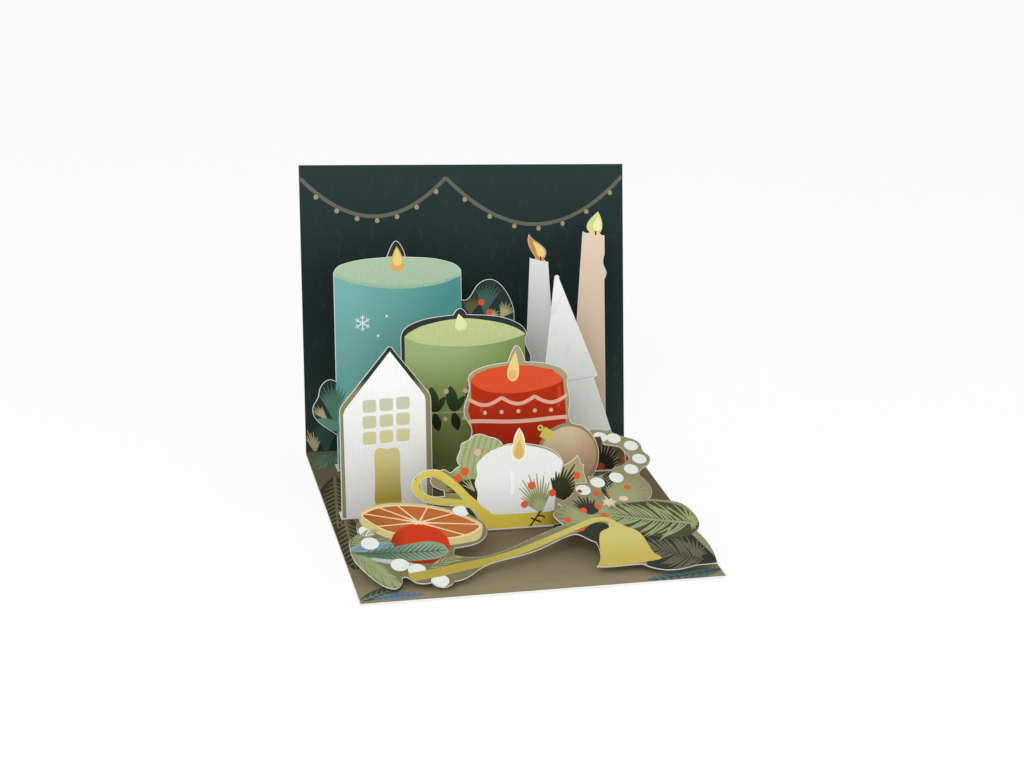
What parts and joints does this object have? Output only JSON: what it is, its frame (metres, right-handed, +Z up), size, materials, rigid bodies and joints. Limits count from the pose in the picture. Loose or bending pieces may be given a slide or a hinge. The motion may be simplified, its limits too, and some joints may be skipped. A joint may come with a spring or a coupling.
{
  "type": "pop up card",
  "caption": "Folded greeting card standing open, with die-cut layers of candles, a tree and a house on paper struts behind a low spray.",
  "frame": {"origin": "middle of the underside of the cover's floor panel, which rests on the table", "axes": "+X to the right seen from the front, +Y to the back, towards the fold, +Z up"},
  "size_m": [0.1334, 0.1509, 0.1077],
  "materials": {
    "cover_card": "smooth uncoated card",
    "lining_card": "matte printed card",
    "teal_candle": "matte printed card, ribbed",
    "white_taper": "matte printed card, ribbed",
    "pink_taper": "matte printed card, ribbed",
    "tree": "matte printed card, ribbed",
    "green_candle": "matte printed card, ribbed",
    "red_candle": "matte printed card, ribbed",
    "house": "matte printed card, ribbed",
    "handled_holder": "matte printed card, ribbed",
    "front_spray": "matte printed card, ribbed",
    "strut_paper": "plain folded paper"
  },
  "bodies": {
    "root": {"cover_card": "cover_card", "lining_card": "lining_card", "teal_candle": "teal_candle", "white_taper": "white_taper", "pink_taper": "pink_taper", "tree": "tree", "green_candle": "green_candle", "red_candle": "red_candle", "house": "house", "handled_holder": "handled_holder", "front_spray": "front_spray", "teal_strut": "strut_paper", "white_taper_strut": "strut_paper", "pink_taper_strut": "strut_paper", "tree_strut": "strut_paper", "green_strut": "strut_paper", "red_strut": "strut_paper", "house_strut": "strut_paper", "holder_strut": "strut_paper", "front_left_leg": "strut_paper", "front_right_leg": "strut_paper", "back_left_leg": "strut_paper", "garland_leg": "strut_paper"}
  },
  "joints": []
}
